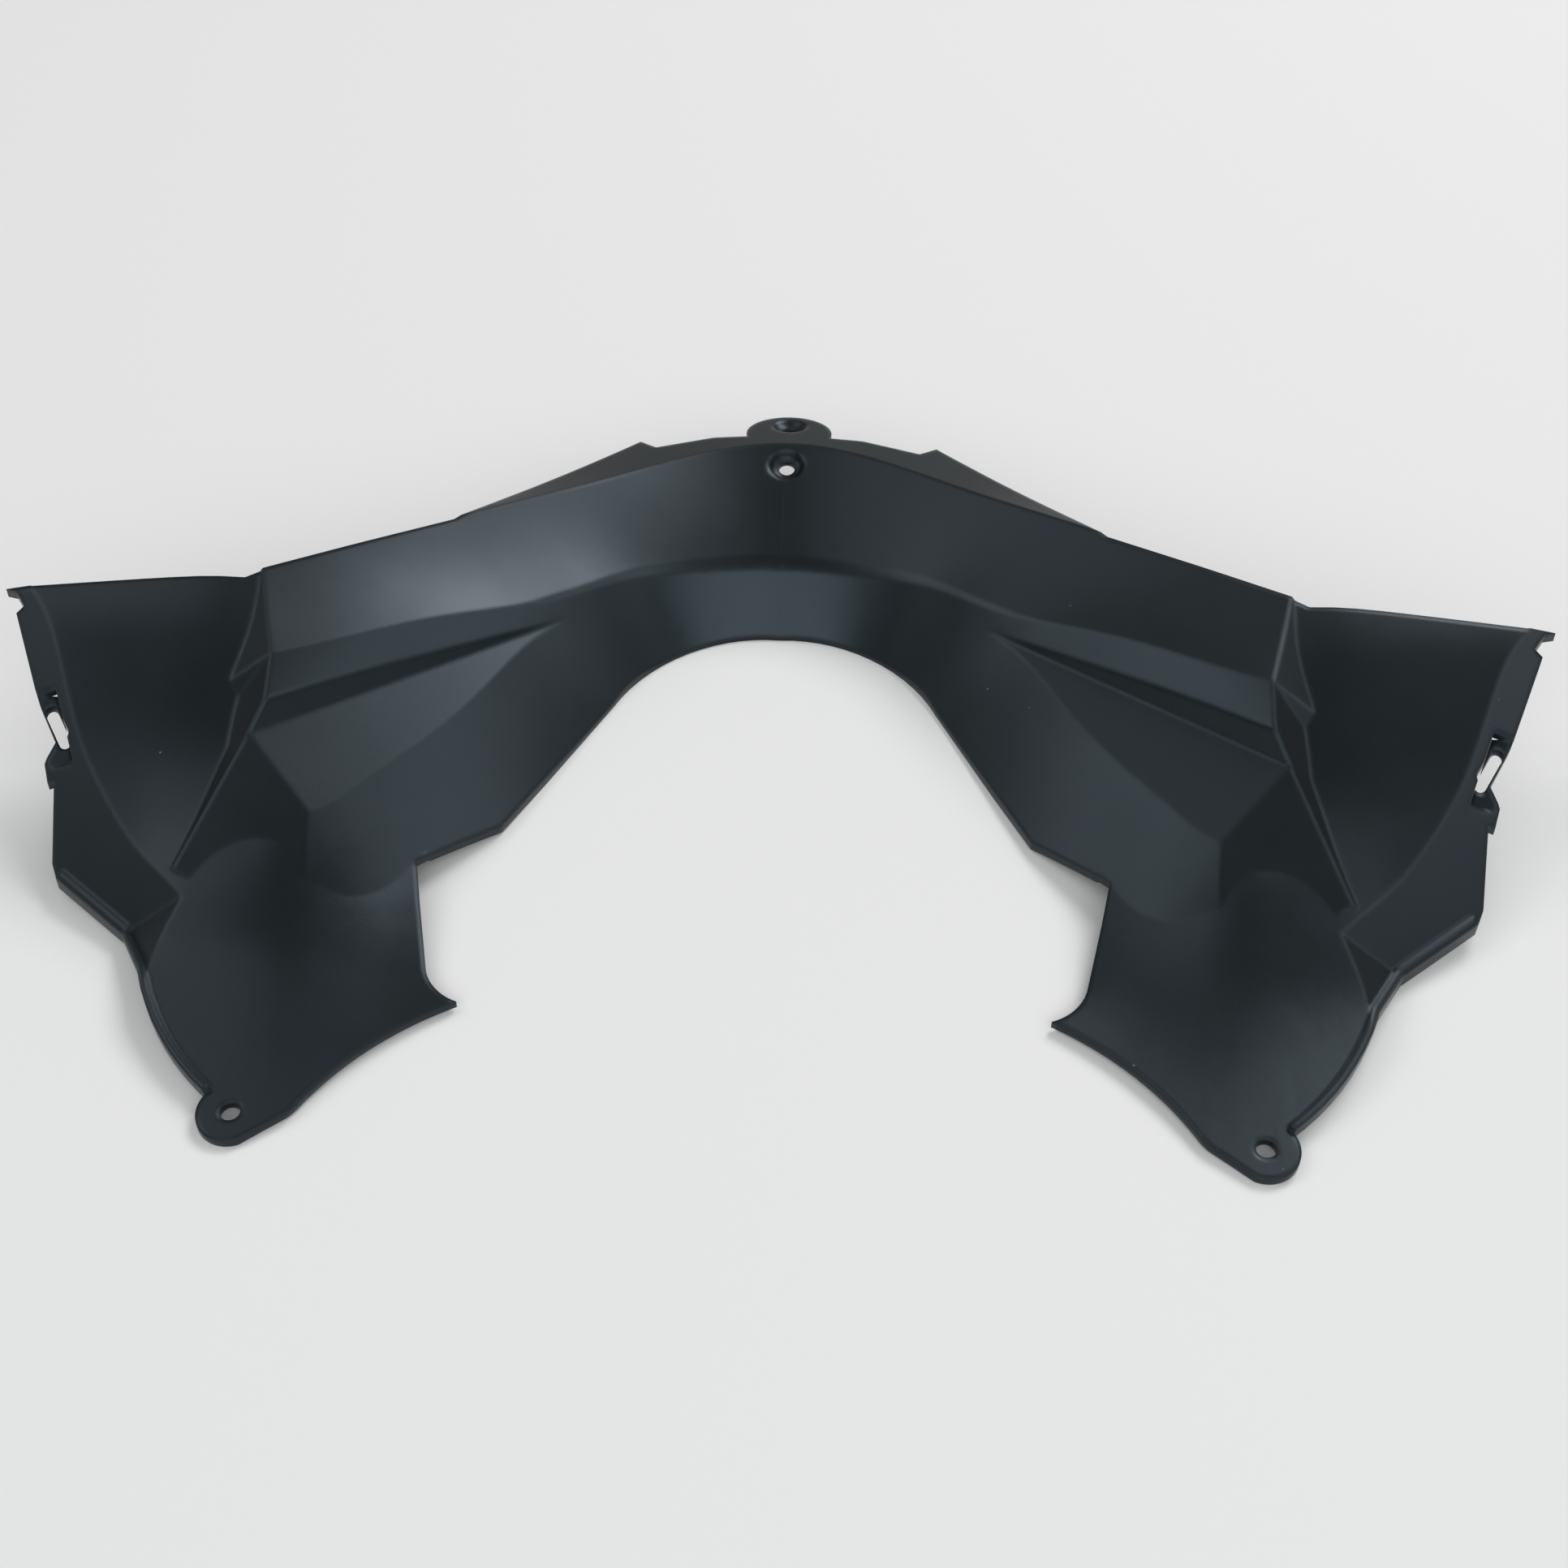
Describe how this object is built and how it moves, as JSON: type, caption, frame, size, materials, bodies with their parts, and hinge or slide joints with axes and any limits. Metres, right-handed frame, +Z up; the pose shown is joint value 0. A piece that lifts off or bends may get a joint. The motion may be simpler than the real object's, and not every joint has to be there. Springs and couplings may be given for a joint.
{
  "type": "front inner fender",
  "caption": "One-piece moulded black plastic front inner fender of a scooter: an arched shell round the wheel opening with stepped cheeks, side wings and lower lobes with screw tabs.",
  "frame": {"origin": "centre of the bounding box in plan, on the floor the part lies on", "axes": "+X to the right of the mirror plane, +Y from the lower lobes towards the top tab, +Z up out of the styled face"},
  "size_m": [0.508, 0.328, 0.0604],
  "materials": {
    "black_plastic": "satin, fine moulded grain"
  },
  "bodies": {
    "root": {"inner_fender": "black_plastic"}
  },
  "joints": []
}
